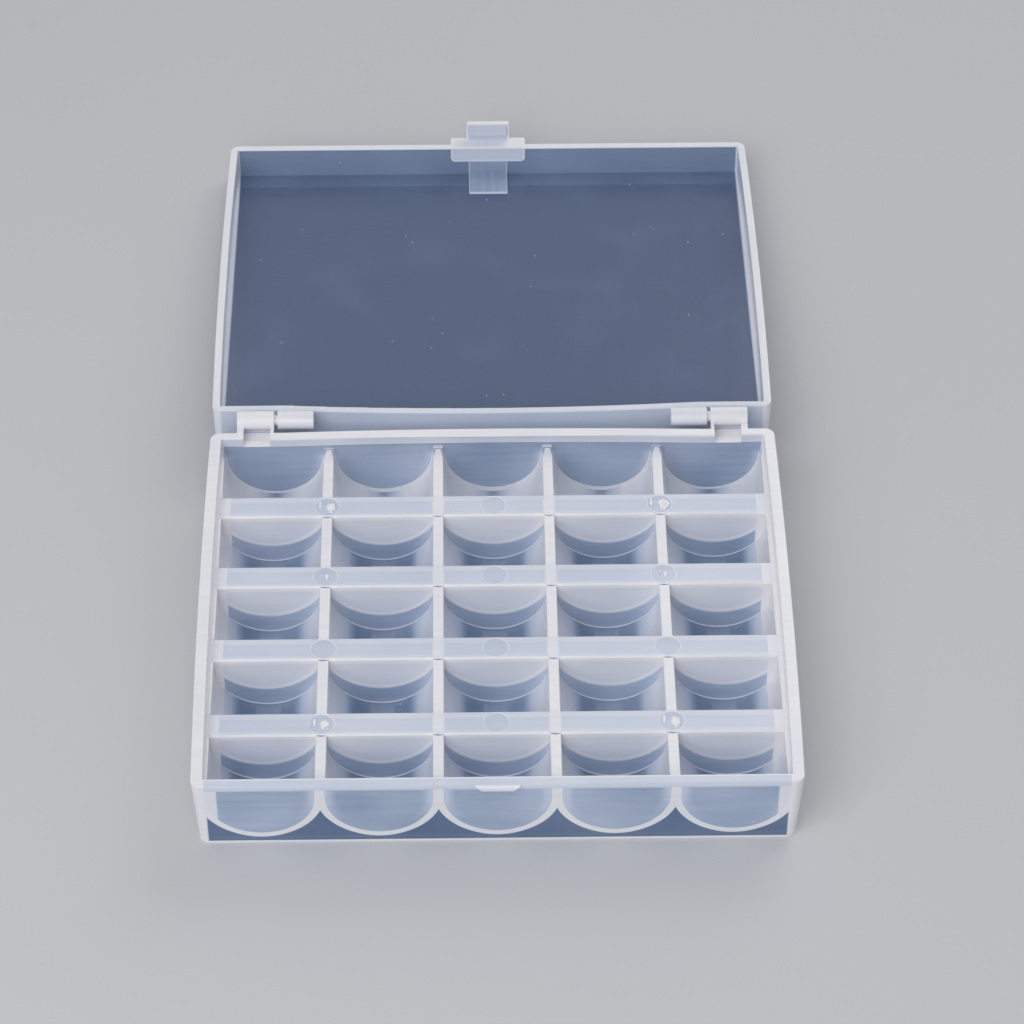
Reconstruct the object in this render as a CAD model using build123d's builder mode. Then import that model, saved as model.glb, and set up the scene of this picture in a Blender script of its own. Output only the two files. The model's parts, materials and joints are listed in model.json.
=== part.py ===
from build123d import *

"""Hinged bobbin box: a tray of five by five round-bottomed pockets under a shallow lid.

The box stands open. The tray stands on the lower edges of its walls at z = 0, front towards -Y.
The lid is turned back past level, so that its far edge rests on the same surface as the tray.
The origin is on that surface, at the middle of the open box's length and width.
"""

import os
from math import acos, atan2, cos, degrees, hypot, sin

# ---------------------------------------------------------------- tray, mm
tray_width = 119.6
tray_depth = 100.0
tray_height = 17.4
tray_inset = 0.9
tray_corner = 2.0
tray_inner_corner = 0.5
tray_edge = 0.25
side_wall = 2.35
end_wall = 1.9

# the long runs of the walls bulge a little, as thin mouldings do
side_bow = 0.5
tray_rear_bow = 0.7
lid_rear_bow = 1.5
rear_bow_margin = 15.8

# ---------------------------------------------------------------- pockets
columns = 5
rows = 5
pocket_land = 0.61
pocket_web = 2.17
pocket_skin = 1.2
pocket_floor = 1.5
pocket_drop = 3.2
web_edge = 0.3
divider_width = 6.1
divider_skin = 1.2
divider_edge = 0.4

# round ejector-pin marks in the tops of the dividers, placed in steps of the pitch
mark_radius = 2.6
mark_depth = 0.15
mark_steps = (-1.5, 0.0, 1.5)

# ---------------------------------------------------------------- lid
lid_height = 8.2
lid_plate = 1.3
lid_wall = 1.7
lid_inset = 0.35
lid_corner = 2.0
lid_edge = 0.3
closed_gap = 0.2

# ---------------------------------------------------------------- hinges
hinge_offset = 3.65
hinge_margin = 5.6
barrel_radius = 2.0
tray_barrel = 7.8
lid_barrel = 7.6
barrel_gap = 0.8
pin_radius = 1.15
pin_reach = 4.5
pin_clearance = 0.06
pin_end_gap = 0.4
notch_outer_margin = 1.4
notch_inner_margin = 0.7
notch_depth = 2.4
arm_depth = 1.4
slot_depth = 0.8
bead_depth = 0.3
bead_height = 2.1

# ---------------------------------------------------------------- latch
bar_width = 17.2
bar_depth = 2.5
bar_height = 4.7
bar_corner = 0.8
bar_edge = 0.5
tab_width = 9.9
tab_thickness = 1.15
tab_reach = 4.6
tab_corner = 0.5
nub_width = 8.7
nub_depth = 0.85
nub_flat = 0.7
nub_clearance = 0.35
catch_top_width = 8.8
catch_bottom_width = 6.2
catch_corner = 0.6
catch_height = 1.15
catch_depth = 0.75
catch_lead = 0.3
pad_length = 8.6
pad_height = 0.4

# ---------------------------------------------------------------- derived places
half_width = tray_width / 2
half_depth = tray_depth / 2
hinge_z = tray_height + closed_gap / 2
rim_level = -closed_gap / 2
plate_level = rim_level - lid_height
lid_far = hinge_offset + tray_depth
lid_mid = hinge_offset + half_depth

# the tilt at which the rounded far edge of the lid's plate touches the surface z = 0
edge_out = lid_far - lid_inset - lid_edge
edge_down = -plate_level - lid_edge
lid_tilt = atan2(edge_out, edge_down) - acos((hinge_z - lid_edge) / hypot(edge_out, edge_down))

# the open box is centred on the origin, from the catch to the tip of the latch tab
tip_out = lid_far + bar_depth
tip_up = rim_level + tab_reach
front_reach = hinge_offset + tray_depth + catch_depth
back_reach = tip_out * cos(lid_tilt) + tip_up * sin(lid_tilt)
hinge_y = (front_reach - back_reach) / 2
tray_y = hinge_y - hinge_offset - half_depth
tray_frame = Plane((0, tray_y, 0))
hinge_frame = Plane((0, hinge_y, hinge_z))
lid_frame = Plane((0, hinge_y, hinge_z), x_dir=(1, 0, 0), z_dir=(0, sin(lid_tilt), cos(lid_tilt)))

inner_half_width = half_width - side_wall
inner_half_depth = half_depth - end_wall
pocket_length = (2 * inner_half_depth - (rows - 1) * divider_width) / rows
pocket_radius = (inner_half_width - pocket_land - (columns - 1) / 2 * pocket_web) / columns
pocket_axis_height = pocket_floor + pocket_radius
pocket_top = tray_height - pocket_drop
row_pitch = pocket_length + divider_width
pocket_pitch = 2 * pocket_radius + pocket_web
skin_radius = pocket_radius + pocket_skin
column_places = [(i - (columns - 1) / 2) * pocket_pitch for i in range(columns)]
row_places = [(j - (rows - 1) / 2) * row_pitch for j in range(rows)]
divider_places = [(j - (rows - 2) / 2) * row_pitch for j in range(rows - 1)]

# the hinge knuckles along x, and the notches in the rear wall under the tray's
tray_barrel_outer = half_width - hinge_margin
tray_barrel_inner = tray_barrel_outer - tray_barrel
lid_barrel_outer = tray_barrel_inner - barrel_gap
lid_barrel_inner = lid_barrel_outer - lid_barrel
notch_outer = tray_barrel_outer - notch_outer_margin
notch_inner = tray_barrel_inner + notch_inner_margin

nub_start = rim_level + closed_gap + catch_height + nub_clearance
tab_face = lid_far + bar_depth - tab_thickness


def facing(frame, y):
    """A plane square to a frame's y, seen from the front: x to the right and z up."""
    return Plane(frame.from_local_coords((0, y, 0)), x_dir=frame.x_dir, z_dir=-frame.y_dir)


def across(frame, x):
    """A plane square to a frame's x: its own x is the frame's y and its own y the frame's z."""
    return Plane(frame.from_local_coords((x, 0, 0)), x_dir=frame.y_dir, z_dir=frame.x_dir)


def both_sides(inner, outer):
    """The lower x of a stretch from inner to outer, on the right and on the left."""
    return (inner, -outer)


def block(left, right, bottom, top, mode=Mode.ADD):
    """A rectangle given by its four sides."""
    with Locations(((left + right) / 2, (bottom + top) / 2)):
        Rectangle(right - left, top - bottom, mode=mode)


def bulge(start, end, height, mode):
    """A shallow bulge on the right of the straight run from start to end."""
    start, end = Vector(*start), Vector(*end)
    outwards = (end - start).normalized().rotate(Axis.Z, -90)
    with BuildLine() as bow:
        ThreePointArc(start, (start + end) / 2 + outwards * height, end)
        Line(end, start)
    make_face(bow.edges(), mode=mode)


def box_outline(half_x, half_y, corner, rear_bow, middle=0, hinge_side=1, mode=Mode.ADD):
    """A box's outline about (0, middle) that bulges at both ends and on its hinge side."""
    with Locations((0, middle)):
        RectangleRounded(2 * half_x, 2 * half_y, corner, mode=mode)
    run = half_y - corner
    bulge((half_x, middle - run), (half_x, middle + run), side_bow, mode)
    bulge((-half_x, middle + run), (-half_x, middle - run), side_bow, mode)
    rear = middle + hinge_side * half_y
    run = hinge_side * (half_width - rear_bow_margin)
    bulge((run, rear), (-run, rear), rear_bow, mode)


def tray_hollow(middle=0, mode=Mode.ADD):
    """The outline of the space inside the tray's walls."""
    size = (inner_half_width, inner_half_depth, tray_inner_corner)
    box_outline(*size, tray_rear_bow, middle, mode=mode)


def lid_outline(inset):
    """The lid's outline at a distance inside its rim."""
    half_x, half_y = half_width - inset, half_depth - inset
    box_outline(half_x, half_y, lid_corner - inset, lid_rear_bow, lid_mid, hinge_side=-1)


def pocket_bank():
    """Front view of everything a row of pockets fills, skins included, out into the side walls."""
    with Locations(*[(x, pocket_axis_height) for x in column_places]):
        Circle(skin_radius)
    block(-half_width, half_width, pocket_axis_height, pocket_top)
    Rectangle(2 * half_width, 2 * pocket_top, mode=Mode.INTERSECT)


def trim_to_walls():
    """Cut a row or a divider back to the inner faces of the tray's walls."""
    with BuildSketch(tray_frame) as surround:
        Rectangle(2 * tray_width, 2 * tray_depth)
        tray_hollow(mode=Mode.SUBTRACT)
    extrude(surround.sketch, amount=pocket_top, mode=Mode.SUBTRACT)


# ---------------------------------------------------------------- tray walls
with BuildPart() as tray_walls:
    with BuildSketch(tray_frame):
        box_outline(half_width - tray_inset, half_depth - tray_inset, tray_corner, tray_rear_bow)
    with BuildSketch(tray_frame.offset(tray_height)):
        box_outline(half_width, half_depth, tray_corner, tray_rear_bow)
    loft(ruled=True)
    with BuildSketch(tray_frame):
        tray_hollow()
    extrude(amount=tray_height, mode=Mode.SUBTRACT)

    # a low bead thickens the top of the rear wall between the notches
    notch_mid = (notch_inner + notch_outer) / 2
    with BuildSketch(tray_frame.offset(tray_height - bead_height)):
        tray_hollow()
        tray_hollow(-bead_depth, Mode.SUBTRACT)
        block(-notch_mid, notch_mid, 0, tray_depth, Mode.INTERSECT)
    extrude(amount=bead_height)
    fillet(tray_walls.faces().sort_by(Axis.Z)[-1].edges(), radius=tray_edge)

    # hinge knuckles on arms behind the rear wall
    for start in both_sides(tray_barrel_inner, tray_barrel_outer):
        with BuildSketch(across(hinge_frame, start)):
            block(-hinge_offset - end_wall / 2, 0, -barrel_radius - arm_depth, rim_level)
        extrude(amount=tray_barrel_outer - tray_barrel_inner)

    # notches through the rear wall, deeper behind it, as far as the knuckles
    for start in both_sides(notch_inner, notch_outer):
        with BuildSketch(across(hinge_frame, start)):
            block(-hinge_offset - 2 * end_wall, 0, rim_level - notch_depth, barrel_radius)
            block(-hinge_offset, -barrel_radius / 2, -barrel_radius - slot_depth, 0)
        extrude(amount=notch_outer - notch_inner, mode=Mode.SUBTRACT)

    for start in both_sides(tray_barrel_inner, tray_barrel_outer):
        with BuildSketch(across(hinge_frame, start)):
            Circle(barrel_radius)
        extrude(amount=tray_barrel_outer - tray_barrel_inner)

    # pin stubs, moulded on the inner ends of the knuckles
    pin_tip = lid_barrel_outer - pin_reach
    for start in both_sides(pin_tip, tray_barrel_inner):
        with BuildSketch(across(hinge_frame, start)):
            Circle(pin_radius)
        extrude(amount=tray_barrel_inner - pin_tip)

    # catch under the front rim
    with BuildSketch(facing(tray_frame, end_wall / 2 - half_depth)) as catch_view:
        with Locations((0, tray_height - catch_height)):
            Trapezoid(
                catch_top_width,
                catch_height,
                90 - degrees(atan2((catch_top_width - catch_bottom_width) / 2, catch_height)),
                rotation=180,
                align=(Align.CENTER, Align.MAX),
            )
        fillet(catch_view.vertices().group_by(Axis.Y)[0], radius=catch_corner)
    extrude(amount=end_wall / 2 + catch_depth)
    chamfer(
        tray_walls.edges().filter_by(Axis.X).group_by(Axis.Y)[0].sort_by(Axis.Z)[-1],
        length=catch_lead,
    )

tray_walls.part.label = "tray_walls"

# ---------------------------------------------------------------- pocket rows
pocket_rows = []
for number, place in enumerate(row_places, 1):
    with BuildPart() as pocket_row:
        back = place + pocket_length / 2 + (tray_rear_bow if number == rows else 0)
        with BuildSketch(facing(tray_frame, back)) as row_view:
            pocket_bank()
            with Locations(*[(x, pocket_axis_height) for x in column_places]):
                Circle(pocket_radius, mode=Mode.SUBTRACT)
                Rectangle(
                    2 * pocket_radius,
                    pocket_top - pocket_axis_height,
                    align=(Align.CENTER, Align.MIN),
                    mode=Mode.SUBTRACT,
                )
            fillet(
                row_view.vertices().group_by(Axis.Y)[-1].sort_by(Axis.X)[1:-1],
                radius=web_edge,
            )
        extrude(amount=back - place + pocket_length / 2)
        trim_to_walls()
    pocket_row.part.label = f"tray_pockets_{number}"
    pocket_rows.append(pocket_row.part)

# ---------------------------------------------------------------- dividers
dividers = []
for number, place in enumerate(divider_places, 1):
    with BuildPart() as divider:
        with BuildSketch(facing(tray_frame, place + divider_width / 2)):
            pocket_bank()
        extrude(amount=divider_width)
        trim_to_walls()

        # hollow from below, under a skin on the top and on both faces
        with BuildSketch(facing(tray_frame, place + divider_width / 2 - divider_skin)):
            block(-half_width, half_width, 0, pocket_top - divider_skin)
        extrude(amount=divider_width - 2 * divider_skin, mode=Mode.SUBTRACT)

        # the mouths of the pockets are eased along the divider
        for x in column_places:
            with BuildSketch(across(tray_frame, x - pocket_radius)):
                for side in (-1, 1):
                    with Locations((place + side * divider_width / 2, pocket_top)):
                        Rectangle(divider_edge * 2 ** 0.5, divider_edge * 2 ** 0.5, rotation=45)
            extrude(amount=2 * pocket_radius, mode=Mode.SUBTRACT)

        with BuildSketch(tray_frame.offset(pocket_top)):
            with Locations(*[(step * pocket_pitch, place) for step in mark_steps]):
                Circle(mark_radius)
        extrude(amount=-mark_depth, mode=Mode.SUBTRACT)
    divider.part.label = f"tray_divider_{number}"
    dividers.append(divider.part)

# ---------------------------------------------------------------- lid
with BuildPart() as lid:
    with BuildSketch(lid_frame.offset(plate_level)):
        lid_outline(lid_inset)
    with BuildSketch(lid_frame.offset(rim_level)):
        lid_outline(0)
    loft(ruled=True)
    with BuildSketch(lid_frame.offset(rim_level)):
        lid_outline(lid_wall)
    extrude(amount=lid_plate - lid_height, mode=Mode.SUBTRACT)
    levels = lid.faces().sort_by(Axis(lid_frame.origin, lid_frame.z_dir))
    fillet(levels[0].edges() + levels[-1].edges(), radius=lid_edge)

    # hinge knuckles on arms, with bores for the tray's pin stubs
    for start in both_sides(lid_barrel_inner, lid_barrel_outer):
        with BuildSketch(across(lid_frame, start)):
            Circle(barrel_radius)
            block(0, hinge_offset + lid_wall / 2, -barrel_radius, rim_level)
        extrude(amount=lid_barrel_outer - lid_barrel_inner)
    bore_end = lid_barrel_outer - pin_reach - pin_end_gap
    for start in both_sides(bore_end, lid_barrel_outer):
        with BuildSketch(across(lid_frame, start)):
            Circle(pin_radius + pin_clearance)
        extrude(amount=lid_barrel_outer - bore_end, mode=Mode.SUBTRACT)

    # latch bar outside the far wall, its top level with the rim
    with BuildSketch(facing(lid_frame, lid_far + bar_depth)) as bar_view:
        block(-bar_width / 2, bar_width / 2, rim_level - bar_height, rim_level)
        fillet(bar_view.vertices().group_by(Axis.Y)[0], radius=bar_corner)
    extrude(amount=bar_depth + lid_wall / 2)
    outer_face = lid.faces().sort_by(Axis(lid_frame.origin, lid_frame.y_dir))[-1]
    fillet(
        outer_face.edges() - outer_face.edges().sort_by(Axis(lid_frame.origin, lid_frame.z_dir))[-1:],
        radius=bar_edge,
    )

    # low pad inside, where the latch was drawn off its mould
    with BuildSketch(lid_frame.offset(plate_level + lid_plate)):
        block(-nub_width / 2, nub_width / 2, lid_far - lid_wall - pad_length, lid_far - lid_wall)
    extrude(amount=pad_height)

lid.part.label = "lid"

# ---------------------------------------------------------------- latch tab
with BuildPart() as latch_tab:
    with BuildSketch(facing(lid_frame, lid_far + bar_depth)) as tab_view:
        block(-tab_width / 2, tab_width / 2, rim_level, rim_level + tab_reach)
        fillet(tab_view.vertices().group_by(Axis.Y)[-1], radius=tab_corner)
    extrude(amount=tab_thickness)
    with BuildSketch(across(lid_frame, -nub_width / 2)):
        with BuildLine():
            Polyline(
                (tab_face, nub_start),
                (tab_face - nub_depth, nub_start),
                (tab_face - nub_depth, nub_start + nub_flat),
                (tab_face, rim_level + tab_reach - tab_corner),
                close=True,
            )
        make_face()
    extrude(amount=nub_width)

latch_tab.part.label = "latch_tab"

# ---------------------------------------------------------------- files
os.makedirs("parts", exist_ok=True)
export_step(tray_walls.part, "parts/tray_walls.step")
for row in pocket_rows:
    export_step(row, f"parts/{row.label}.step")
for piece in dividers:
    export_step(piece, f"parts/{piece.label}.step")
export_step(lid.part, "parts/lid.step")
export_step(latch_tab.part, "parts/latch_tab.step")
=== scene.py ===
import json
import math
from types import SimpleNamespace

import bpy
from bpy.props import FloatProperty, FloatVectorProperty, PointerProperty
from mathutils import Matrix, Vector


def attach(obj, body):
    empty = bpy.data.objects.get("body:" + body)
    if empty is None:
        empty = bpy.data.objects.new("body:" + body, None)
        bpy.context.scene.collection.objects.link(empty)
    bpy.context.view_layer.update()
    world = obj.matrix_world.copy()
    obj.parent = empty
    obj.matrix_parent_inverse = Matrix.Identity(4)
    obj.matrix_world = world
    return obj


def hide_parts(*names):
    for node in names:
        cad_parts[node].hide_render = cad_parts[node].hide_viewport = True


"""Looks of a hinged 25-pocket bobbin box in natural polypropylene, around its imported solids.

The tray's walls, pocket rows and dividers are one moulding, so they are fused into one shell.
The lid and its latch tab are shells of their own, because the lid swings and the tab flexes.
"""

bl_info = {
    "name": "Bobbin Box",
    "version": (1, 0, 0),
    "blender": (4, 5, 0),
    "location": "View3D > Sidebar > Bobbin Box",
    "description": "Models and finishes a hinged bobbin box moulded in natural polypropylene",
    "category": "Object",
}

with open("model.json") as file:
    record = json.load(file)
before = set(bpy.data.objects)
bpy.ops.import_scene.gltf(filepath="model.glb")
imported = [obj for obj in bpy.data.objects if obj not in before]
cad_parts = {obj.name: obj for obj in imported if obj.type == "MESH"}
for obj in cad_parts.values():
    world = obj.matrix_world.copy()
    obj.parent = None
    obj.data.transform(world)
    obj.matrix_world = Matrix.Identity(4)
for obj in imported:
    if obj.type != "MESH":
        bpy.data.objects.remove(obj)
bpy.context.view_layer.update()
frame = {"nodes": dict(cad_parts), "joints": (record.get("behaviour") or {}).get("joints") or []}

MM = 0.001
SAME_POINT = 0.002 * MM
UNION_GAP = 5 * SAME_POINT
FLAT_ANGLE = math.radians(0.3)
SMOOTH_ANGLE = math.radians(32)
WALLS = "tray_walls"
FILLINGS = sorted(n for n in frame["nodes"] if n.startswith("tray_") and n != WALLS)

hinge = next(j for j in frame["joints"] if j["name"] == "lid_hinge")
hinge_point = Vector(hinge["pos_m"])
lid_tilt = math.radians(hinge["range_deg"][1] - 180)

# a filling's vertices beyond FILLING_END are at a side wall, and those within END_MARGIN of an
# end wall are at that wall
FILLING_END = 56.9 * MM
END_MARGIN = 0.05 * MM

# the front bead runs into the walls around it, and stops just under the rim
BEAD_END = 57.5 * MM
BEAD_ROOT = 0.7 * MM
BEAD_DROP = 0.02 * MM
BEAD_ROUNDING = 0.22 * MM

# a sink mark's half sizes, and where the webs are between five pockets or five rows
PIT = Vector((1.15, 0.36, 0.36)) * MM
BETWEEN = (-1.5, -0.5, 0.5, 1.5)

# a torn stub's half sizes, its place in its ejector mark, how rough it is and how large its lumps
# are, and the same of the flake beside it
STUB, STUB_SHIFT = Vector((1.15, 1.5, 0.75)) * MM, Vector((0.75, -0.25, -0.35)) * MM
STUB_ROUGHNESS, STUB_LUMPS = 0.55 * MM, 0.5 * MM
FLAKE, FLAKE_SHIFT = Vector((0.42, 1.5, 0.6)) * MM, Vector((-1.5, 0.3, -0.3)) * MM
FLAKE_ROUGHNESS, FLAKE_LUMPS = 0.4 * MM, 0.6 * MM

# from one ejector mark to the next, in pocket pitches
MARK_SPACING = 1.5

# column and row of each torn stub's ejector mark, and the stub's size
GATES = (
    (-1, 1.5, 1.0),
    (1, 1.5, 1.15),
    (-1, -1.5, 0.9),
    (1, -1.5, 1.0),
    (-1, 0.5, 0.45),
    (1, 0.5, 0.5),
)

# each lamp's place and side in metres, and its share of the power
LAMPS = (((-0.3, -0.65, 0.75), 0.9, 1.0), ((0.5, 0.75, 0.7), 0.8, 0.5))
ROOM_COLOUR = (0.97, 0.98, 1, 1)

# the floor's side in metres, its mottles per metre and how far they are from its colour
FLOOR_SIDE = 6
MOTTLES, MOTTLING = 9.0, 0.015

# the camera's place in metres, its angles in radians and its sensor in millimetres
CAMERA_PLACE = (-0.0047305, -0.613491, 0.594267)
CAMERA_PITCH, CAMERA_YAW, CAMERA_ROLL = 0.778986, 0.014578, 0.000807
SENSOR_WIDTH = 36


# ---------------------------------------------------------------- sizes and colours
class BobbinBoxSizes(bpy.types.PropertyGroup):
    """Sizes of the moulded details, in metres"""

    tray_depth: FloatProperty(
        name="Tray depth",
        description="Outside, from front to back",
        default=100 * MM,
        unit="LENGTH",
    )
    hinge_offset: FloatProperty(
        name="Hinge offset",
        description="From the rear wall's outside back to the hinge's axis",
        default=3.65 * MM,
        unit="LENGTH",
    )
    end_wall: FloatProperty(
        name="End wall",
        description="Thickness of the front and rear walls",
        default=1.9 * MM,
        unit="LENGTH",
    )
    pocket_pitch: FloatProperty(
        name="Pocket pitch",
        description="From one pocket to the next",
        default=23.17 * MM,
        unit="LENGTH",
    )
    row_pitch: FloatProperty(
        name="Row pitch",
        description="From one row to the next",
        default=20.46 * MM,
        unit="LENGTH",
    )
    divider_width: FloatProperty(
        name="Divider width",
        description="Across the top of a divider",
        default=6.1 * MM,
        unit="LENGTH",
    )
    tray_height: FloatProperty(
        name="Tray height",
        description="From the floor to the rim",
        default=17.4 * MM,
        unit="LENGTH",
    )
    pocket_top: FloatProperty(
        name="Divider tops",
        description="Height of the dividers' tops",
        default=14.2 * MM,
        unit="LENGTH",
    )
    pocket_axis: FloatProperty(
        name="Pocket axis",
        description="Height of the pockets' axes",
        default=12.0 * MM,
        unit="LENGTH",
    )
    pocket_radius: FloatProperty(
        name="Pocket radius",
        description="Inside radius of a pocket",
        default=10.5 * MM,
        unit="LENGTH",
    )
    bead_depth: FloatProperty(
        name="Front bead",
        description="How far the front rim's bead stands in",
        default=0.3 * MM,
        unit="LENGTH",
    )
    bead_height: FloatProperty(
        name="Bead height",
        description="Height of the front rim's bead",
        default=2.1 * MM,
        unit="LENGTH",
    )
    weld: FloatProperty(
        name="Weld",
        description="How far the fillings run into the walls",
        default=0.1 * MM,
        unit="LENGTH",
    )


class BobbinBoxFinish(bpy.types.PropertyGroup):
    """Colours and clarity of the polypropylene"""

    thin_colour: FloatVectorProperty(
        name="Thin plates",
        description="Colour of the clearest plates",
        subtype="COLOR",
        default=(0.10, 0.15, 0.29),
    )
    wall_colour: FloatVectorProperty(
        name="Walls",
        description="Colour of the end walls",
        subtype="COLOR",
        default=(0.25, 0.35, 0.53),
    )
    skin_colour: FloatVectorProperty(
        name="Skins",
        description="Colour of doubled skins",
        subtype="COLOR",
        default=(0.62, 0.70, 0.86),
    )
    thick_colour: FloatVectorProperty(
        name="Thick edges",
        description="Colour of rims and webs",
        subtype="COLOR",
        default=(0.87, 0.86, 0.89),
    )
    thin_cover: FloatProperty(
        name="Thin cover",
        description="How much one face of a thin skin hides",
        default=0.36,
        min=0,
        max=1,
    )
    thick_cover: FloatProperty(
        name="Thick cover",
        description="How much one face of a thick edge hides",
        default=0.85,
        min=0,
        max=1,
    )
    gloss: FloatProperty(
        name="Roughness", description="Roughness of the moulded skin", default=0.2, min=0, max=1
    )


class BobbinBoxStage(bpy.types.PropertyGroup):
    """Floor, lamps and camera"""

    floor_colour: FloatVectorProperty(
        name="Floor", description="Colour of the floor", subtype="COLOR", default=(0.54, 0.55, 0.57)
    )
    room_light: FloatProperty(
        name="Room light", description="Strength of the room's light", default=0.42
    )
    lamp_power: FloatProperty(
        name="Lamp", description="Power of the stronger lamp", default=6.5, unit="POWER"
    )
    lens: FloatProperty(name="Lens", description="Focal length of the camera", default=139.0)


# ---------------------------------------------------------------- modelling tools
def take(obj):
    """Make obj the only selected object, and the active one."""
    bpy.ops.object.select_all(action="DESELECT")
    obj.select_set(True)
    bpy.context.view_layer.objects.active = obj


def welded_copy(node_name, name):
    """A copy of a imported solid, its loose triangles merged into flat faces."""
    mesh = frame["nodes"][node_name].data.copy()
    mesh.materials.clear()
    obj = bpy.data.objects.new(name, mesh)
    bpy.context.scene.collection.objects.link(obj)
    take(obj)
    bpy.ops.object.mode_set(mode="EDIT")
    bpy.ops.mesh.select_all(action="SELECT")
    bpy.ops.mesh.customdata_custom_splitnormals_clear()
    bpy.ops.mesh.remove_doubles(threshold=SAME_POINT)
    bpy.ops.mesh.dissolve_limited(angle_limit=FLAT_ANGLE)
    bpy.ops.object.mode_set(mode="OBJECT")
    return obj


def move_where(obj, test, offset):
    """Move the vertices that pass the test."""
    take(obj)
    for edge in obj.data.edges:
        edge.select = False
    for face in obj.data.polygons:
        face.select = False
    for vertex in obj.data.vertices:
        vertex.select = test(vertex.co)
    bpy.ops.object.mode_set(mode="EDIT")
    bpy.ops.mesh.select_mode(type="VERT")
    bpy.ops.transform.translate(value=offset)
    bpy.ops.object.mode_set(mode="OBJECT")


def apply_modifier(obj, kind, **settings):
    """Add a modifier with its settings and apply it."""
    take(obj)
    modifier = obj.modifiers.new(kind.lower(), kind)
    for key, value in settings.items():
        setattr(modifier, key, value)
    bpy.ops.object.modifier_apply(modifier=modifier.name)


def combine(obj, tools, operation):
    """Join the tools to obj, or cut them from it, and remove them."""
    group = bpy.data.collections.new("tools")
    bpy.context.scene.collection.children.link(group)
    for tool in tools:
        group.objects.link(tool)
        bpy.context.scene.collection.objects.unlink(tool)
    apply_modifier(
        obj,
        "BOOLEAN",
        operation=operation,
        operand_type="COLLECTION",
        collection=group,
        solver="MANIFOLD",
    )
    for tool in tools:
        bpy.data.objects.remove(tool)
    bpy.data.collections.remove(group)


def piece(name, kind, low, high, **settings):
    """A primitive that fills the box from low to high."""
    middle, size = (Vector(low) + Vector(high)) / 2, Vector(high) - Vector(low)
    bpy.ops.object.select_all(action="DESELECT")
    getattr(bpy.ops.mesh, f"primitive_{kind}_add")(location=middle, **settings)
    obj = bpy.context.object
    obj.name = name
    obj.scale = [s / 2 for s in size]
    bpy.ops.object.transform_apply(location=True, rotation=True, scale=True)
    return obj


def bevel_where(obj, test, width):
    """Round the edges whose two ends both pass the test."""
    take(obj)
    vertices = obj.data.vertices
    for item in (*obj.data.polygons, *vertices):
        item.select = False
    for edge in obj.data.edges:
        edge.select = all(test(vertices[i].co) for i in edge.vertices)
    bpy.ops.object.mode_set(mode="EDIT")
    bpy.ops.mesh.select_mode(type="EDGE")
    bpy.ops.mesh.bevel(offset=width, segments=3, profile=0.5)
    bpy.ops.object.mode_set(mode="OBJECT")


def lump(name, middle, reach, roughness, lumps):
    """A torn, uneven little mound."""
    obj = piece(name, "ico_sphere", middle - reach, middle + reach, subdivisions=4, radius=1.0)
    grain = bpy.data.textures.new(name, "CLOUDS")
    grain.noise_scale = lumps
    apply_modifier(
        obj, "DISPLACE", texture=grain, strength=roughness, mid_level=0.5, texture_coords="LOCAL"
    )
    bpy.data.textures.remove(grain)
    return obj


def clean(obj):
    """Merge what a union leaves, and shade curved faces smoothly."""
    take(obj)
    bpy.ops.object.mode_set(mode="EDIT")
    bpy.ops.mesh.select_all(action="SELECT")
    bpy.ops.mesh.remove_doubles(threshold=UNION_GAP)
    bpy.ops.mesh.dissolve_limited(angle_limit=FLAT_ANGLE)
    bpy.ops.mesh.normals_make_consistent(inside=False)
    bpy.ops.object.mode_set(mode="OBJECT")
    bpy.ops.object.shade_smooth_by_angle(angle=SMOOTH_ANGLE)
    apply_modifier(obj, "WEIGHTED_NORMAL", keep_sharp=True)


# ---------------------------------------------------------------- arithmetic in shader nodes
def add_node(tree, kind, inputs=(), **settings):
    """A node with its settings, its inputs given as numbers or as other nodes' outputs."""
    node = tree.nodes.new(kind)
    for key, value in settings.items():
        setattr(node, key, value)
    for socket, value in dict(inputs).items():
        if isinstance(value, bpy.types.NodeSocket):
            tree.links.new(value, node.inputs[socket])
        else:
            node.inputs[socket].default_value = value
    return node


def calculate(operation, *values, clamp=False):
    """A field worked out from other fields and plain numbers."""
    tree = next(v for v in values if isinstance(v, Field)).socket.node.id_data
    inputs = enumerate(v.socket if isinstance(v, Field) else v for v in values)
    node = add_node(tree, "ShaderNodeMath", inputs, operation=operation, use_clamp=clamp)
    return Field(node.outputs[0])


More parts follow.
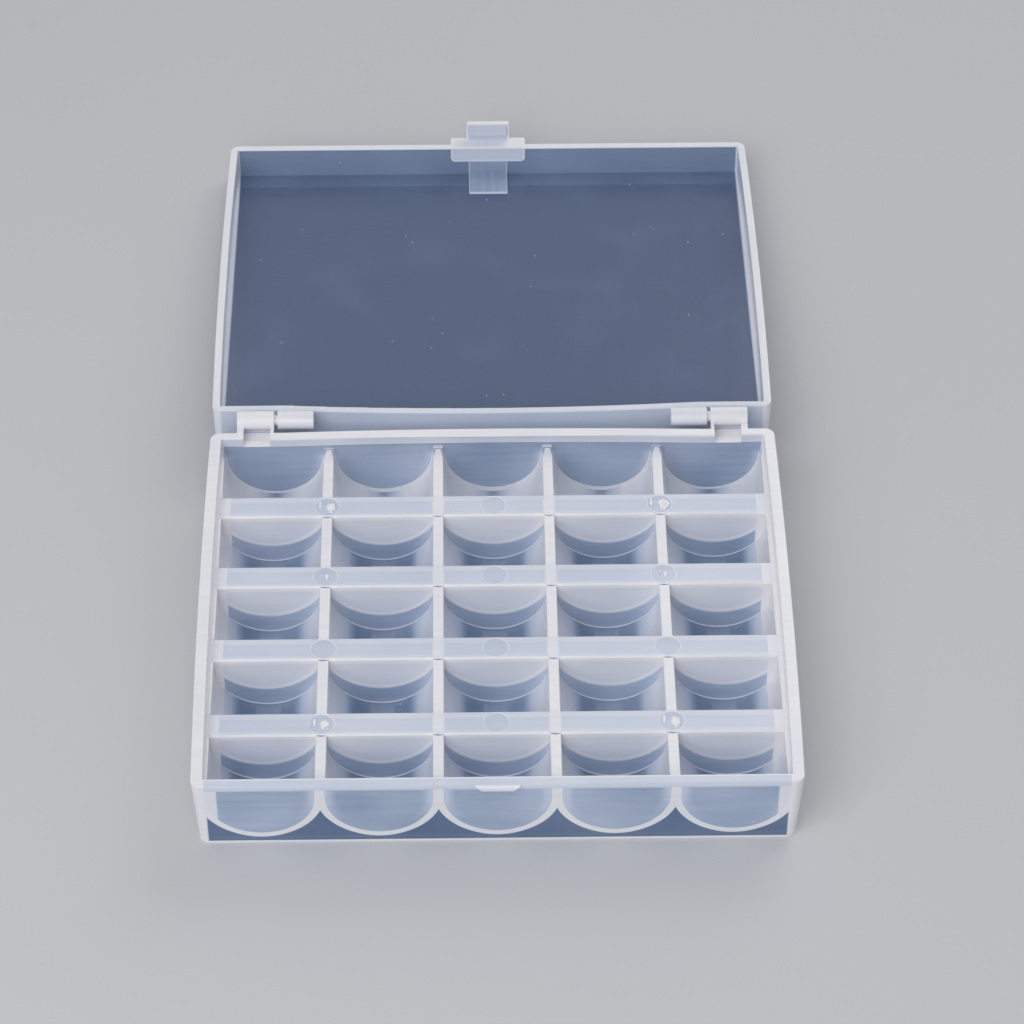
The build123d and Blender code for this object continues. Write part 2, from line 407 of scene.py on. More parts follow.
class Field:
    """A number that varies over a surface, worked out by shader nodes, lengths in mm."""

    def __init__(self, socket):
        self.socket = socket

    def __add__(self, other):
        return calculate("ADD", self, other)

    def __sub__(self, other):
        return calculate("SUBTRACT", self, other)

    def __rsub__(self, other):
        return calculate("SUBTRACT", other, self)

    def __mul__(self, other):
        return calculate("MULTIPLY", self, other)

    def __rtruediv__(self, other):
        return calculate("DIVIDE", other, self)

    def __pow__(self, other):
        return calculate("POWER", self, other)

    def __abs__(self):
        return calculate("ABSOLUTE", self)

    def over(self, *others):
        """The greatest of several fields."""
        result = self
        for other in others:
            result = calculate("MAXIMUM", result, other)
        return result

    def off_nearest(self, spacing):
        """Distance from the nearest of a row of places, one of them at 0."""
        return calculate("PINGPONG", self, spacing / 2)

    def step(self, low, high):
        """0 below low and 1 above high, or the other way round where low is the higher."""
        ends = (0.0, 1.0) if low < high else (1.0, 0.0)
        inputs = {0: self.socket, 1: min(low, high), 2: max(low, high), 3: ends[0], 4: ends[1]}
        tree = self.socket.node.id_data
        node = add_node(tree, "ShaderNodeMapRange", inputs, interpolation_type="SMOOTHSTEP")
        return Field(node.outputs[0])

    def near(self, place, reach, blur=0.1):
        """1 within reach of a place."""
        return abs(self - place).step(reach + blur / 2, reach - blur / 2)

    def blend(self, other, share):
        """This field, turned into the other one where share is 1."""
        into = other.socket if isinstance(other, Field) else other
        inputs = {0: share.socket, 2: self.socket, 3: into}
        return Field(add_node(self.socket.node.id_data, "ShaderNodeMix", inputs).outputs[0])


def diagonal(one, other):
    """Length across two distances at right angles."""
    return calculate("SQRT", one * one + other * other)


def from_axis(off, level, axis):
    """Distance from an axis below its height, and straight sideways above it."""
    return diagonal(off, calculate("MINIMUM", level - axis, 0.0))


def split(vector):
    """The three numbers of a vector."""
    node = add_node(vector.node.id_data, "ShaderNodeSeparateXYZ", {0: vector})
    return [Field(socket) for socket in node.outputs]


def noise(place, scale, detail, stretch=(1, 1, 1)):
    """Smooth noise between 0 and 1, scale its grains per unit of place."""
    tree = place.node.id_data
    spread = add_node(tree, "ShaderNodeMapping", {0: place, 3: stretch}).outputs[0]
    inputs = {"Vector": spread, "Scale": scale, "Detail": detail}
    return Field(add_node(tree, "ShaderNodeTexNoise", inputs).outputs[0])


# ---------------------------------------------------------------- how milky the tray looks, and its painted light and shade
# heights, widths and radii on the tray that only its finish follows, in mm
SIDE_WALL = 57.0
OUTER_FACE = 8.5
MILKY_FOOT, MILKY_BRIM = 3.0, 13.0
CRESCENT_LIFT, CRESCENT_RADIUS, GLOW_RADIUS = 6.15, 12.2, 11.9
HOLLOW_LIFT, HOLLOW_RADIUS, HOLLOW_HEIGHT = 0.64, 12.26, 8.4
REAR_TROUGH = 14.4
WEB_FOOT, WEB_HEAD = 8.0, 11.0
WEB_FLARE, WEB_NARROWING = 0.9, 0.6
PIT_SLOPE = 0.4
MARK_RADIUS = 2.6
NOTCH, NOTCH_FLOOR = 45.0, 14.0
BOTTOM_EDGE = 0.5

# how far a face's normal points along an axis where the face begins to count as turned to it, and
# where it fully does
TURNED = (0.5, 0.8)

# how milky each part of the tray looks, painted light and shade among them: 0 is clear and 1 is
# white
TRAY_MILK_AND_LIGHT = SimpleNamespace(
    end_wall=0.38,
    shaded_hollow=0.12,
    shaded_crescent=0.4,
    skin=0.72,
    skin_rise=0.1,
    brim_rise=0.18,
    painted_glow=0.95,
    side_glow_skin=0.95,
    inside=0.45,
    arc=0.92,
    rear_arc=0.95,
    side_glow_front=0.85,
    arc_seen_through=0.3,
    rim=0.72,
    rim_line=0.85,
    catch=0.86,
    trough=0.28,
    trough_side=0.62,
    rear_light_floor=0.35,
    rear_light_side=0.6,
    fillet=0.85,
    divider=0.62,
    divider_rear=0.1,
    divider_front=0.08,
    over_web_and_side_glow=0.88,
    mark=0.56,
    mark_ring=0.9,
    web=0.95,
    rear_web=0.4,
    pit_shade=0.3,
    rim_top_and_highlight=0.95,
    front_rim_fall=0.27,
    catch_rise=0.25,
    edge=0.95,
)


class TrayPlaces:
    """The tray's landmarks in mm, and how far a point of its surface is from them."""

    def __init__(self, x, y, z, normal, sizes):
        self.x, self.y, self.z = x, y, z
        self.end_face, self.top_face = abs(normal[1]).step(*TURNED), normal[2].step(*TURNED)
        self.wall = sizes.tray_depth / MM / 2 - sizes.end_wall / MM
        self.bore, self.axis = sizes.pocket_radius / MM, sizes.pocket_axis / MM
        self.top, self.height = sizes.pocket_top / MM, sizes.tray_height / MM
        self.rim_foot = self.height - sizes.bead_height / MM
        self.half, self.pitch = sizes.divider_width / MM / 2, sizes.pocket_pitch / MM
        row = sizes.row_pitch / MM

        self.front_wall = y.step(1.0 - self.wall, 0.5 - self.wall)
        self.rear_wall = y.step(self.wall - 1.5, self.wall - 1.0)
        # through the front wall the pockets' ends show a little above where they are
        lift = y.step(-self.wall - 0.6, -self.wall - 1.2) * (0.85 * sizes.end_wall / MM)
        self.level = z - lift
        # off a pocket's middle, and beside a divider's middle, in front of it where negative
        self.off = x.off_nearest(self.pitch)
        self.beside = calculate("WRAP", y + row * 1.5, row / 2, -row / 2)
        self.from_divider = abs(self.beside)
        # the outer side of the outermost pockets, painted white as a painted glow of the light that
        # comes in through the side walls
        outer = 2 * self.pitch + OUTER_FACE
        self.side_glow = abs(x).step(outer - 0.2, outer + 0.2)


def end_face_milk_and_light(at):
    """Faces across the box: end walls, skins and the rims above them."""
    level, wall, bore, top = at.level, at.wall, at.bore, at.top
    milk_light, front_wall, rear_wall = TRAY_MILK_AND_LIGHT, at.front_wall, at.rear_wall

    # skins and webs that end at a wall show through it as milky arcs
    radius = from_axis(at.off, level, at.axis)
    inside = radius.step(bore - 2.5, bore) * level.step(MILKY_FOOT, MILKY_BRIM) * milk_light.inside
    arcs = inside.over(radius.step(bore - 0.1, bore + 0.15) * milk_light.arc)
    line = radius.near(bore - 0.2, 0.15) * rear_wall * milk_light.rear_arc
    # the outermost pockets' outer sides show white through the front wall, a painted glow of light
    # through the side walls
    arcs = arcs.over(line, at.side_glow * front_wall * milk_light.side_glow_front)
    behind_rim = rear_wall * level.step(top - 3.0, top - 0.5)
    arcs = arcs * level.step(top + 1.2, top) * (1 - behind_rim)

    # each far skin is painted paler upwards and paler still near its top, and ends below in a dark
    # crescent of painted shade, where the hollow under the divider lies in shade, with a painted
    # glow along the crescent's upper edge
    bow = from_axis(at.off, level, at.axis + CRESCENT_LIFT)
    shaded_crescent = bow.step(CRESCENT_RADIUS, CRESCENT_RADIUS + 0.5)
    skins = level.step(MILKY_FOOT - 1, MILKY_BRIM) * milk_light.skin_rise + milk_light.skin
    skins = skins.over(bow.near(GLOW_RADIUS, 0.35) * milk_light.painted_glow).blend(milk_light.shaded_crescent, shaded_crescent)
    skins = skins + level.step(top - 1.4, top - 1.1) * milk_light.brim_rise
    # the outermost pockets' outer sides are painted white, a painted glow of light through the side
    # walls
    skins = skins.over(at.side_glow * milk_light.side_glow_skin)
    skins = skins.blend(milk_light.end_wall, front_wall).blend(milk_light.end_wall, rear_wall)

    # below the arcs the walls stand before the hollow underside, and there they are painted darker
    # and clearer, a painted shade of that hollow
    shaded_hollow = from_axis(at.off, level, at.axis + HOLLOW_LIFT)
    shaded_hollow = shaded_hollow.step(HOLLOW_RADIUS, HOLLOW_RADIUS + 0.16)
    shaded_hollow = shaded_hollow * level.step(HOLLOW_HEIGHT + 0.5, HOLLOW_HEIGHT)
    skins = (skins + arcs * milk_light.arc_seen_through).over(arcs).blend(milk_light.shaded_hollow, shaded_hollow)

    foot = at.rim_foot
    rim = at.z.step(foot - 0.2, foot + 0.1) * milk_light.rim
    rim = rim.over(at.z.near(foot + 0.05, 0.2) * milk_light.rim_line)
    rim = rim.blend(at.z.step(foot - 0.5, foot + 1.5) * milk_light.rim, front_wall)
    return skins.over(rim, at.y.step(-wall - 2.0, -wall - 2.1) * milk_light.catch)


def trough_milk_and_light(at):
    """Pocket floors: clear along the bottom and milkier up their sides, with painted light paling
    the rear row and a painted glow whitening the outermost pockets' outer sides.
    """
    milk_light, wall, half, top = TRAY_MILK_AND_LIGHT, at.wall, at.half, at.top
    fillet = at.from_divider.step(half + 0.4, half + 0.2).over(at.y.step(wall - 0.4, wall - 0.2))
    fillet = fillet * at.z.step(top - 0.5, top - 1.0) * milk_light.fillet
    trough = at.off.step(5.0, at.bore - 0.1) * milk_light.trough_side + milk_light.trough
    # the rear row's troughs are painted paler, most up their sides, as painted light from behind
    rear_row_light = at.off.step(0.0, 5.5) * milk_light.rear_light_side + milk_light.rear_light_floor
    rear_row_light = at.y.step(wall - REAR_TROUGH - 0.2, wall - REAR_TROUGH + 0.2) * rear_row_light
    # the outermost pockets' outer sides are painted white, a painted glow of light through the side
    # walls
    return trough.over(rear_row_light, fillet, at.side_glow)


def divider_milk_and_light(at):
    """Dividers' tops: milkier along their edges and over webs, white over the outermost pockets'
    outer sides as a painted glow, with rings round ejector marks.
    """
    milk_light, half, bore = TRAY_MILK_AND_LIGHT, at.half, at.bore
    rear_edge = at.beside.step(half - 1.95, half - 1.7) * milk_light.divider_rear
    front_edge = at.beside.step(1.2 - half, 0.9 - half) * milk_light.divider_front
    band = rear_edge.over(front_edge) + milk_light.divider
    # over the outermost pockets' outer sides the tops are painted white too, a painted glow
    band = band.over(at.off.step(bore - 1.6, bore + 0.4).over(at.side_glow) * milk_light.over_web_and_side_glow)
    mark = diagonal(at.x.off_nearest(MARK_SPACING * at.pitch), at.from_divider)
    band = band.blend(milk_light.mark, mark.step(MARK_RADIUS - 0.05, MARK_RADIUS - 0.15))
    band = band.over(mark.near(MARK_RADIUS, 0.12) * milk_light.mark_ring)
    return band.over(at.z.step(at.top + 0.02, at.top + 0.12))


def tray_milk_and_light(x, y, z, normal, sizes):
    """How thick and milky each part of the tray looks, from 0 to 1, with painted light and shade
    among it.
    """
    at, milk_light = TrayPlaces(x, y, z, normal, sizes), TRAY_MILK_AND_LIGHT
    wall, bore, half, top, height = at.wall, at.bore, at.half, at.top, at.height

    # webs flare where they meet a divider's rear face, and have a sink mark at its front edge,
    # painted dark as shade in the mark
    flare = at.beside.step(half + 2.2, half + 0.2) * at.beside.step(half - 0.1, half) * WEB_FLARE
    web = (at.off + flare).step(bore - 0.6, bore - 0.15) * z.step(WEB_FOOT, WEB_HEAD) * milk_light.web
    on_divider = at.from_divider.step(half + 0.05, half - 0.05) * z.step(top - 0.5, top - 0.25)
    taper = (at.pitch / 2 - at.off) * PIT_SLOPE
    pit_shade = (abs(at.beside + half) + taper).step(0.5, 0.36) * z.near(top, 0.6)
    pit_shade = pit_shade * y.step(wall - 1, wall - 2)

    # in the rear row the webs look narrower towards the wall, and clearer beside that
    web_end = (at.off - y.step(wall - 4.0, wall) * WEB_NARROWING).step(bore - 0.1, bore + 0.1)
    web_end = web_end * y.step(wall - 0.2, wall - 0.4)
    beyond = (1 - web_end) * at.top_face * z.step(top - 0.3, top - 0.1)
    beyond = beyond * y.step(wall - 4.0, wall - 3.5)

    milk_and_light = trough_milk_and_light(at).over(web).blend(milk_light.rear_web, beyond)
    milk_and_light = milk_and_light.blend(divider_milk_and_light(at), on_divider).blend(milk_light.pit_shade, pit_shade)
    notch = at.top_face * abs(x).step(NOTCH, NOTCH + 1) * y.step(wall - 0.3, wall - 0.1)
    milk_and_light = milk_and_light.over(notch * z.step(NOTCH_FLOOR, NOTCH_FLOOR + 0.8))
    milk_and_light = milk_and_light.blend(end_face_milk_and_light(at), at.end_face)

    # the rim's top is painted near white, partly for the rim's thickness and partly as a painted
    # highlight along it, and less so along the front, but for the catch
    on_front, on_catch = y.step(-wall, -wall - 0.3), y.step(-wall - 2.0, -wall - 2.1)
    rim_top_and_highlight = milk_light.rim_top_and_highlight - on_front * milk_light.front_rim_fall + on_catch * milk_light.catch_rise
    milk_and_light = milk_and_light.blend(rim_top_and_highlight, z.step(height - 0.5, height - 0.2))
    # the side walls are milky, and the bottom edge is painted as a bright line, a painted highlight
    side = abs(x).step(SIDE_WALL - 0.3, SIDE_WALL + 0.3)
    return milk_and_light.over(side * milk_light.edge, z.step(BOTTOM_EDGE + 0.2, BOTTOM_EDGE) * milk_light.edge)


# ---------------------------------------------------------------- how milky lid and latch look, and their painted highlights and reflection
# places on the lid that only its finish follows, in mm from the hinge's axis, but for FAR_WALL, the
# reach of the wall's painted reflection and PAD_REACH, which are from the far end
LID_SIDE = 57.4
LID_RIM, PLATE = -0.35, -7.4
HINGE_WALL, KNUCKLE = 5.2, 2.0
FAR_WALL, WALL_REFLECTION_REACH = 2.0, 7.3
BAR_HALF, BAR_FOOT, BAR_ROUNDING = 7.6, 2.9, 0.98
PAD_HALF, PAD_REACH = 4.35, 10.3
TAB_HALF, TAB_END = 4.5, 4.0

# how milky each part of the lid and its latch looks, with the painted highlights and the painted
# reflection among them
LID_MILK_AND_LIGHT = SimpleNamespace(
    rim=0.92,
    hinge_rim_fall=0.12,
    side=0.85,
    hinge_wall=0.6,
    knuckle=0.9,
    far_wall=0.27,
    corner=0.22,
    wall_reflection=0.1,
    bar=0.85,
    bar_edge_highlight=0.15,
    pad=0.38,
    pad_side=0.55,
    pad_end=0.75,
    tab=0.64,
    tab_edge_highlight=0.35,
)


def lid_milk_and_light(x, y, z, normal, sizes):
    """How thick and milky each part of the lid looks, from 0 to 1, with a painted reflection and
    painted highlights.
    """
    wide, milk_light = abs(x), LID_MILK_AND_LIGHT
    far = (sizes.hinge_offset + sizes.tray_depth) / MM
    far_wall = y.step(far - FAR_WALL, far - FAR_WALL + 0.4)
    hinge_wall = y.step(HINGE_WALL + 0.4, HINGE_WALL)
    rim = z.step(LID_RIM - 0.25, LID_RIM) * (milk_light.rim - hinge_wall * milk_light.hinge_rim_fall)
    side = wide.step(LID_SIDE, LID_SIDE + 0.7) * milk_light.side
    knuckle = y.step(KNUCKLE + 0.4, KNUCKLE) * milk_light.knuckle
    milk_and_light = rim.over(side, hinge_wall * milk_light.hinge_wall, knuckle, far_wall * milk_light.far_wall)

    # the far wall meets the plate in a pale line, and the wall's reflection is painted on the plate
    corner = y.step(far - FAR_WALL - 0.3, far - FAR_WALL - 0.1) * z.near(PLATE + 0.5, 0.3)
    wall_reflection = y.step(far - WALL_REFLECTION_REACH, far - WALL_REFLECTION_REACH + 0.3) * normal[2].step(*TURNED)
    milk_and_light = milk_and_light.over(corner * milk_light.corner, wall_reflection * milk_light.wall_reflection)

    # the latch bar shows through the far wall, its rounded edges painted brighter as highlights
    inset = diagonal((wide - BAR_HALF).over(0.0), (-BAR_FOOT - z).over(0.0))
    bar = inset.step(0.5, 0.6) * milk_light.bar_edge_highlight + milk_light.bar
    milk_and_light = milk_and_light.over(bar * inset.step(BAR_ROUNDING + 0.08, BAR_ROUNDING) * far_wall)

    # the low pad has fine bright sides, which run on up the wall to the bar
    above_plate = z.step(PLATE, PLATE + 0.2)
    run = y.step(far - PAD_REACH - 0.2, far - PAD_REACH) * above_plate
    within = wide.step(PAD_HALF + 0.1, PAD_HALF - 0.05)
    sides = wide.near(PAD_HALF, 0.13) * run * z.step(-BAR_FOOT - 1.0, -BAR_FOOT - 1.3)
    end = y.near(far - PAD_REACH, 0.15) * within * above_plate
    return milk_and_light.over(within * run * milk_light.pad, sides * milk_light.pad_side, end * milk_light.pad_end)


def latch_milk_and_light(x, y, z, normal, sizes):
    """The latch tab is evenly milky, with its edges painted brighter as highlights."""
    edge = abs(x).step(TAB_HALF, TAB_HALF + 0.2).over(z.step(TAB_END, TAB_END + 0.2))
    return edge * LID_MILK_AND_LIGHT.tab_edge_highlight + LID_MILK_AND_LIGHT.tab


# ---------------------------------------------------------------- the plastic itself
# clouds, streaks and specks per mm, and the streaks' stretch along x or along y and z
CLOUDS, STREAKS, SPECKS = 0.055, 0.9, 0.35
ACROSS, ALONG = (0.08, 1.0, 1.0), (1.0, 0.06, 0.06)

# how far a speck reaches in its cell, fading, and from where a cell's own number gives it a speck
SPECK_EDGE, SPECK_CHOICE = (0.065, 0.04), (0.68, 0.7)

# how strong clouds and specks are, and streaks as a share of what looks milky and at least
CLOUD_STRENGTH, SPECK_STRENGTH = 0.18, 0.7
STREAK_SHARE, STREAK_LEAST = 0.12, 0.015

# a face seen at a slant turns milky between these two slants
SLANT, SLANT_MILK = (0.72, 0.98), 0.75

# upright end walls hide more of what is behind them
STANDING, STANDING_COVER = (0.7, 0.9), 0.14

# how squarely a face counts as seen at least, so that its slant view doesn't turn solid
LEAST_FACING = 0.14

# where the end walls' and the skins' colours stand between clear and white
WALL_STOP, SKIN_STOP = 0.28, 0.5

ROUGH_SPREAD = 0.16
STREAK_BUMP, STREAK_HEIGHT = 0.25, 0.02 * MM
POLYPROPYLENE_IOR = 1.49


def flow_streaks(place, normal, z):
    """Streaks left by the melt's flow: along y on low level faces, and along x on the others."""
    across, along = noise(place, STREAKS, 1.5, ACROSS), noise(place, STREAKS, 1.5, ALONG)
    return across.blend(along, normal[2].step(0.2, 0.6) * z.step(13.0, 12.0))


def dust(place):
    """A few small specks, in some of the cells that the space is divided into."""
    inputs = {"Vector": place, "Scale": SPECKS}
    cells = add_node(place.node.id_data, "ShaderNodeTexVoronoi", inputs).outputs
    return Field(cells["Distance"]).step(*SPECK_EDGE) * Field(cells["Color"]).step(*SPECK_CHOICE)


def polypropylene(name, milk_and_light_of, origin, tilt):
    """Natural polypropylene: clear and bluish where thin, milky where thick or seen edge-on."""
    finish = bpy.context.scene.bobbin_box_finish
    material = bpy.data.materials.new(name)
    material.use_nodes = True
    tree = material.node_tree
    tree.nodes.clear()

    # places in mm from the origin, turned back by the tilt that the piece is packed at
    turn = Matrix.Rotation(tilt, 3, "X")
    own = add_node(tree, "ShaderNodeTexCoord").outputs
    inputs = {0: own["Object"], 1: turn @ origin / -MM, 2: turn.to_euler(), 3: (1 / MM,) * 3}
    place = add_node(tree, "ShaderNodeMapping", inputs).outputs[0]
    turned = add_node(tree, "ShaderNodeMapping", {0: own["Normal"], 2: turn.to_euler()}).outputs[0]
    x, y, z = split(place)
    normal = split(turned)
    milk_and_light = milk_and_light_of(x, y, z, normal, bpy.context.scene.bobbin_box_sizes)

    # cloudy patches, streaks from the melt's flow and a few specks of dust
    streaks = flow_streaks(place, normal, z)
    uneven = (streaks - 0.5) * (milk_and_light * STREAK_SHARE + STREAK_LEAST)
    milk_and_light = milk_and_light + noise(place, CLOUDS, 1.0) * CLOUD_STRENGTH - CLOUD_STRENGTH / 2 + uneven
    milk_and_light = calculate("ADD", milk_and_light.over(dust(place) * SPECK_STRENGTH), 0.0, clamp=True)

    # seen edge-on, a wall looks milkier and lets less through
    facing = Field(add_node(tree, "ShaderNodeLayerWeight", {0: 0.5}).outputs["Facing"])
    milk_and_light = milk_and_light.over(facing.step(*SLANT) * SLANT_MILK)
    standing = abs(normal[1]).step(*STANDING) * STANDING_COVER
    cover = milk_and_light * (finish.thick_cover - finish.thin_cover) + finish.thin_cover + standing
    passed = (1 - cover) ** (1 / (1 - facing).over(LEAST_FACING))
    alpha = calculate("SUBTRACT", 1, passed, clamp=True)

    ramp = add_node(tree, "ShaderNodeValToRGB", {0: milk_and_light.socket})
    stops = ramp.color_ramp.elements
    stops[0].color = (*finish.thin_colour, 1)
    stops[1].color = (*finish.thick_colour, 1)
    stops.new(WALL_STOP).color = (*finish.wall_colour, 1)
    stops.new(SKIN_STOP).color = (*finish.skin_colour, 1)

    rough = streaks * ROUGH_SPREAD + (finish.gloss - ROUGH_SPREAD / 2)
    height = {"Strength": STREAK_BUMP, "Distance": STREAK_HEIGHT, "Height": streaks.socket}
    surface = {
        "Base Color": ramp.outputs[0],
        "Roughness": rough.socket,
        "Alpha": alpha.socket,
        "IOR": POLYPROPYLENE_IOR,
        "Normal": add_node(tree, "ShaderNodeBump", height).outputs[0],
    }
    shader = add_node(tree, "ShaderNodeBsdfPrincipled", surface)
    add_node(tree, "ShaderNodeOutputMaterial", {0: shader.outputs[0]})
    return material


def dress(obj, material, body, *nodes):
    """Give obj its finish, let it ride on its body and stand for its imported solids."""
    obj.data.materials.clear()
    obj.data.materials.append(material)
    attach(obj, body)
    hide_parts(*nodes)


# ---------------------------------------------------------------- pieces
class BOBBINBOX_OT_tray(bpy.types.Operator):
    """Fuse the tray's walls, pocket rows and dividers into one moulding"""

    bl_idname = "bobbin_box.tray"
    bl_label = "Mould tray"

    def execute(self, context):
        sizes = context.scene.bobbin_box_sizes
        tray = welded_copy(WALLS, "tray")
        middle = hinge_point.y - sizes.hinge_offset - sizes.tray_depth / 2
        combine(tray, [*self.fillings(sizes, middle), self.front_bead(sizes, middle)], "UNION")
        combine(tray, self.pits(sizes, middle), "DIFFERENCE")
        combine(tray, self.gate_scars(sizes, middle), "UNION")
        clean(tray)
        finish = polypropylene("tray polypropylene", tray_milk_and_light, Vector((0, middle, 0)), 0)
        dress(tray, finish, "tray", WALLS, *FILLINGS)
        return {"FINISHED"}

    @staticmethod
    def fillings(sizes, middle):
        """The pocket rows and dividers, run a little way into the walls."""
        reach = sizes.tray_depth / 2 - sizes.end_wall - END_MARGIN
        fillings = []
        for name in FILLINGS:
            filling = welded_copy(name, f"{name}_copy")
            for side in (-1, 1):
                weld = side * sizes.weld
                move_where(filling, lambda co: co.x * side > FILLING_END, (weld, 0, 0))
                move_where(filling, lambda co: (co.y - middle) * side > reach, (0, weld, 0))
            fillings.append(filling)
        return fillings

    @staticmethod
    def front_bead(sizes, middle):
        """The bead that thickens the front rim on its inside."""
        face = middle + sizes.end_wall - sizes.tray_depth / 2
        top = sizes.tray_height - BEAD_DROP
        low = (-BEAD_END, face - BEAD_ROOT, sizes.tray_height - sizes.bead_height)
        bead = piece("front_bead", "cube", low, (BEAD_END, face + sizes.bead_depth, top))
        bevel_where(bead, lambda co: co.y > face and co.z > top - SAME_POINT, BEAD_ROUNDING)
        return bead

    @staticmethod
    def pits(sizes, middle):
        """Sink marks in the dividers' front edges, in front of each web."""
        tools = []
        for row in BETWEEN:
            for column in BETWEEN:
                x = column * sizes.pocket_pitch
                y = middle + row * sizes.row_pitch - sizes.divider_width / 2
                place = Vector((x, y, sizes.pocket_top))
                low, high = place - PIT, place + PIT
                tools.append(piece("pit_shade", "ico_sphere", low, high, subdivisions=3, radius=1.0))
        return tools

    @staticmethod
    def gate_scars(sizes, middle):
        """Torn stubs in the ejector marks, where the melt was fed in."""
        tools = []
        for column, row, size in GATES:
            x = column * MARK_SPACING * sizes.pocket_pitch
            place = Vector((x, middle + row * sizes.row_pitch, sizes.pocket_top))
            stub, flake = place + STUB_SHIFT * size, place + FLAKE_SHIFT * size
            tools.append(lump("gate_stub", stub, STUB * size, STUB_ROUGHNESS * size, STUB_LUMPS))
            roughness = FLAKE_ROUGHNESS * size
            tools.append(lump("gate_flake", flake, FLAKE * size, roughness, FLAKE_LUMPS))
        return tools


class BOBBINBOX_OT_lid(bpy.types.Operator):
    """Model the lid with its hinge knuckles and latch bar"""

    bl_idname = "bobbin_box.lid"
    bl_label = "Mould lid"

    def execute(self, context):
        lid = welded_copy("lid", "lid_shell")
        clean(lid)
        finish = polypropylene("lid polypropylene", lid_milk_and_light, hinge_point, lid_tilt)
        dress(lid, finish, "lid", "lid")
        return {"FINISHED"}


class BOBBINBOX_OT_latch(bpy.types.Operator):
    """Model the latch tab that hooks over the tray's catch"""

    bl_idname = "bobbin_box.latch"
    bl_label = "Mould latch tab"

    def execute(self, context):
        tab = welded_copy("latch_tab", "latch")
        clean(tab)
        finish = polypropylene("latch polypropylene", latch_milk_and_light, hinge_point, lid_tilt)
        dress(tab, finish, "latch", "latch_tab")
        return {"FINISHED"}


class BOBBINBOX_OT_stage(bpy.types.Operator):
    """Lay the floor and set the lamps and the camera"""

    bl_idname = "bobbin_box.stage"
    bl_label = "Set stage"

    def execute(self, context):
        stage = context.scene.bobbin_box_stage
        bpy.ops.mesh.primitive_plane_add(size=FLOOR_SIDE)
        floor = context.object
        floor.name = "floor"
        floor.data.materials.append(pale_floor(stage.floor_colour))
        self.room(context.scene, stage)
        self.lamps(context, stage)
        self.camera(context, stage)
        context.scene.view_settings.view_transform = "Standard"
        return {"FINISHED"}

    @staticmethod
    def room(scene, stage):
        """An even soft light, behind a backdrop of the floor's colour."""
        world = bpy.data.worlds.new("room")
        scene.world = world
        world.use_nodes = True
        tree = world.node_tree
        tree.nodes.clear()
        rays = add_node(tree, "ShaderNodeLightPath").outputs
        kinds = ("Is Camera Ray", "Is Glossy Ray", "Is Transmission Ray")
        camera_ray, *bent_rays = (Field(rays[kind]) for kind in kinds)
        seen = camera_ray.over(*bent_rays).socket
        light = add_node(tree, "ShaderNodeBackground", {0: ROOM_COLOUR, 1: stage.room_light})
        backdrop = add_node(tree, "ShaderNodeBackground", {0: (*stage.floor_colour, 1), 1: 1.0})
        shaders = {0: seen, 1: light.outputs[0], 2: backdrop.outputs[0]}
        mix = add_node(tree, "ShaderNodeMixShader", shaders)
        add_node(tree, "ShaderNodeOutputWorld", {0: mix.outputs[0]})

    @staticmethod
    def lamps(context, stage):
        """Large soft lamps, aimed at the box."""
        for place, side, share in LAMPS:
            bpy.ops.object.light_add(type="AREA", location=place)
            lamp = context.object
            lamp.data.size = side
            lamp.data.energy = stage.lamp_power * share
            lamp.rotation_euler = (-lamp.location).to_track_quat("-Z", "Y").to_euler()

    @staticmethod
    def camera(context, stage):
        """The camera, looking down at the box from in front."""
        bpy.ops.object.camera_add(location=CAMERA_PLACE)
        camera = context.object
        camera.data.sensor_width = SENSOR_WIDTH
        camera.data.lens = stage.lens
        pitch, yaw, roll = CAMERA_PITCH, CAMERA_YAW, CAMERA_ROLL
        forward = math.cos(pitch)
        ahead = Vector((math.sin(yaw) * forward, math.cos(yaw) * forward, -math.sin(pitch)))
        right = Vector((math.cos(yaw), -math.sin(yaw), 0))
        up = right.cross(ahead)
        across = right * math.cos(roll) + up * math.sin(roll)
        upright = up * math.cos(roll) - right * math.sin(roll)
        camera.rotation_euler = Matrix((across, upright, -ahead)).transposed().to_euler()
        context.scene.camera = camera


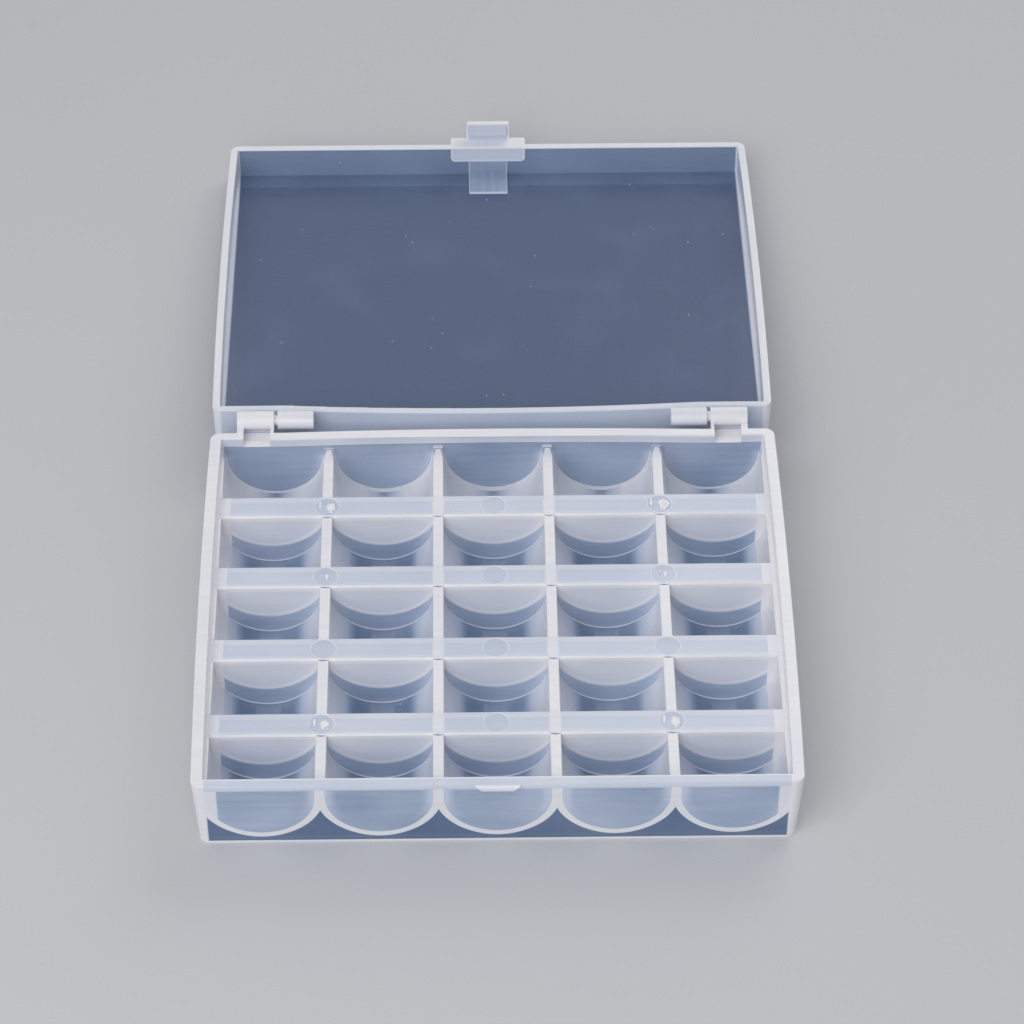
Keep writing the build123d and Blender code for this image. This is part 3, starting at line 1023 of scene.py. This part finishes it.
def pale_floor(colour):
    """Smooth pale board with faint mottling."""
    material = bpy.data.materials.new("pale floor")
    material.use_nodes = True
    tree = material.node_tree
    board = tree.nodes["Principled BSDF"]
    place = add_node(tree, "ShaderNodeTexCoord").outputs["Object"]
    tone = noise(place, MOTTLES, 4.0).socket
    darker, paler = ((*(c * share for c in colour), 1) for share in (1 - MOTTLING, 1 + MOTTLING))
    mixed = add_node(tree, "ShaderNodeMix", {0: tone, 6: darker, 7: paler}, data_type="RGBA")
    tree.links.new(mixed.outputs[2], board.inputs["Base Color"])
    board.inputs["Roughness"].default_value = 0.85
    board.inputs["Specular IOR Level"].default_value = 0.2
    return material


class BOBBINBOX_PT_panel(bpy.types.Panel):
    """Lists the pieces of the bobbin box"""

    bl_idname = "BOBBINBOX_PT_panel"
    bl_label = "Bobbin Box"
    bl_space_type = "VIEW_3D"
    bl_region_type = "UI"
    bl_category = "Bobbin Box"

    def draw(self, context):
        for operator in OPERATORS:
            self.layout.operator(operator.bl_idname)
        for group in (
            context.scene.bobbin_box_sizes,
            context.scene.bobbin_box_finish,
            context.scene.bobbin_box_stage,
        ):
            for name in group.__annotations__:
                self.layout.prop(group, name)


OPERATORS = (BOBBINBOX_OT_tray, BOBBINBOX_OT_lid, BOBBINBOX_OT_latch, BOBBINBOX_OT_stage)
GROUPS = (BobbinBoxSizes, BobbinBoxFinish, BobbinBoxStage)


def register():
    for item in (*GROUPS, *OPERATORS, BOBBINBOX_PT_panel):
        bpy.utils.register_class(item)
    bpy.types.Scene.bobbin_box_sizes = PointerProperty(type=BobbinBoxSizes)
    bpy.types.Scene.bobbin_box_finish = PointerProperty(type=BobbinBoxFinish)
    bpy.types.Scene.bobbin_box_stage = PointerProperty(type=BobbinBoxStage)


def unregister():
    del bpy.types.Scene.bobbin_box_stage
    del bpy.types.Scene.bobbin_box_finish
    del bpy.types.Scene.bobbin_box_sizes
    for item in reversed((*GROUPS, *OPERATORS, BOBBINBOX_PT_panel)):
        bpy.utils.unregister_class(item)


def main():
    register()
    bpy.ops.bobbin_box.tray()
    bpy.ops.bobbin_box.lid()
    bpy.ops.bobbin_box.latch()
    bpy.ops.bobbin_box.stage()


if __name__ == "__main__":
    main()
